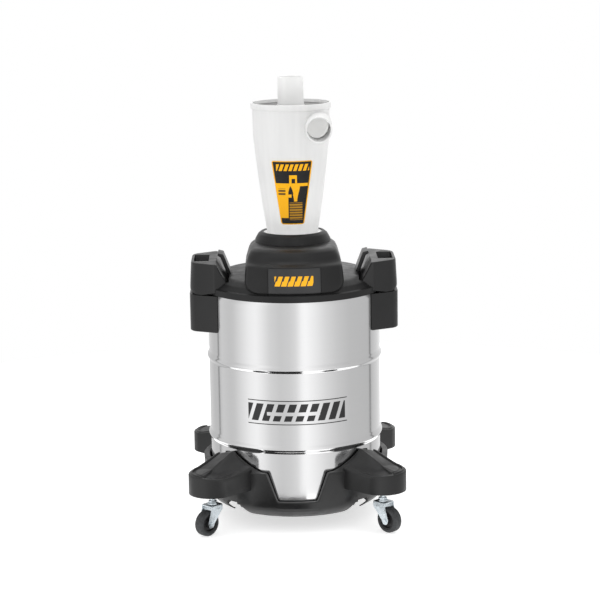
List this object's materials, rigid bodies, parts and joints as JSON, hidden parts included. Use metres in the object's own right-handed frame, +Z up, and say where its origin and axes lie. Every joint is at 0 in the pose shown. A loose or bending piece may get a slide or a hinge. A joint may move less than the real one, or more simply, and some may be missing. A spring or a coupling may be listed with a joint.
{
  "type": "dust collector",
  "caption": "Small dust collector: translucent cyclone with side inlet on the latched lid of a polished steel drum, on a black dolly with swivel casters.",
  "frame": {"origin": "on the floor, on the drum's axis", "axes": "+Z up along the drum's axis; -Y is the front, with the inlet and the nameplate; latches at +X and -X"},
  "size_m": [0.4218, 0.4218, 0.872],
  "materials": {
    "stainless_steel": "polished, slightly brushed round the drum",
    "zinc_plate": "bright zinc plating",
    "black_plastic": "moulded, lightly grained",
    "nameplate_plastic": "satin",
    "hub_plastic": "moulded",
    "rubber": "matt",
    "natural_plastic": "translucent, unpigmented moulding"
  },
  "bodies": {
    "base": {"dolly": "black_plastic", "drum_wall": "stainless_steel", "drum_base": "stainless_steel", "base_screw_1": "zinc_plate", "base_screw_2": "zinc_plate", "base_screw_3": "zinc_plate", "base_screw_4": "zinc_plate", "left_bracket": "black_plastic", "left_rivet_front": "zinc_plate", "left_rivet_rear": "zinc_plate", "right_bracket": "black_plastic", "right_rivet_front": "zinc_plate", "right_rivet_rear": "zinc_plate", "front_left_caster_stem": "zinc_plate", "front_right_caster_stem": "zinc_plate", "rear_right_caster_stem": "zinc_plate", "rear_left_caster_stem": "zinc_plate"},
    "lid": {"lid": "black_plastic", "lid_seal": "rubber", "nameplate": "nameplate_plastic", "left_latch_clip": "black_plastic", "right_latch_clip": "black_plastic", "cyclone_body": "natural_plastic", "cyclone_cover": "natural_plastic", "cyclone_gasket": "rubber", "cyclone_ring_nut": "black_plastic", "left_latch_pin": "zinc_plate", "right_latch_pin": "zinc_plate"},
    "left_latch": {"left_latch": "black_plastic"},
    "right_latch": {"right_latch": "black_plastic"},
    "front_left_swivel": {"front_left_caster_fork": "zinc_plate", "front_left_axle": "zinc_plate"},
    "front_left_wheel": {"front_left_wheel_hub": "hub_plastic", "front_left_tyre": "rubber"},
    "front_right_swivel": {"front_right_caster_fork": "zinc_plate", "front_right_axle": "zinc_plate"},
    "front_right_wheel": {"front_right_wheel_hub": "hub_plastic", "front_right_tyre": "rubber"},
    "rear_right_swivel": {"rear_right_caster_fork": "zinc_plate", "rear_right_axle": "zinc_plate"},
    "rear_right_wheel": {"rear_right_wheel_hub": "hub_plastic", "rear_right_tyre": "rubber"},
    "rear_left_swivel": {"rear_left_caster_fork": "zinc_plate", "rear_left_axle": "zinc_plate"},
    "rear_left_wheel": {"rear_left_wheel_hub": "hub_plastic", "rear_left_tyre": "rubber"}
  },
  "joints": [
    {"name": "lid_lift", "type": "slide", "parent": "base", "child": "lid", "axis": [0, 0, 1], "range_m": [0, 0.25]},
    {"name": "left_latch_swing", "type": "hinge", "parent": "lid", "child": "left_latch", "pos_m": [-0.193, 0, 0.464], "axis": [0, -1, 0], "range_deg": [0, 60]},
    {"name": "right_latch_swing", "type": "hinge", "parent": "lid", "child": "right_latch", "pos_m": [0.193, 0, 0.464], "axis": [0, 1, 0], "range_deg": [0, 60]},
    {"name": "front_left_swivel_turn", "type": "hinge", "parent": "base", "child": "front_left_swivel", "pos_m": [-0.165, -0.165, 0.06], "axis": [0, 0, 1], "continuous": true},
    {"name": "front_left_wheel_spin", "type": "hinge", "parent": "front_left_swivel", "child": "front_left_wheel", "pos_m": [-0.17702, -0.17702, 0.025], "axis": [0.7071, -0.7071, 0], "continuous": true},
    {"name": "front_right_swivel_turn", "type": "hinge", "parent": "base", "child": "front_right_swivel", "pos_m": [0.165, -0.165, 0.06], "axis": [0, 0, 1], "continuous": true},
    {"name": "front_right_wheel_spin", "type": "hinge", "parent": "front_right_swivel", "child": "front_right_wheel", "pos_m": [0.17702, -0.17702, 0.025], "axis": [0.7071, 0.7071, 0], "continuous": true},
    {"name": "rear_right_swivel_turn", "type": "hinge", "parent": "base", "child": "rear_right_swivel", "pos_m": [0.165, 0.165, 0.06], "axis": [0, 0, 1], "continuous": true},
    {"name": "rear_right_wheel_spin", "type": "hinge", "parent": "rear_right_swivel", "child": "rear_right_wheel", "pos_m": [0.17702, 0.17702, 0.025], "axis": [-0.7071, 0.7071, 0], "continuous": true},
    {"name": "rear_left_swivel_turn", "type": "hinge", "parent": "base", "child": "rear_left_swivel", "pos_m": [-0.165, 0.165, 0.06], "axis": [0, 0, 1], "continuous": true},
    {"name": "rear_left_wheel_spin", "type": "hinge", "parent": "rear_left_swivel", "child": "rear_left_wheel", "pos_m": [-0.17702, 0.17702, 0.025], "axis": [-0.7071, -0.7071, 0], "continuous": true}
  ]
}
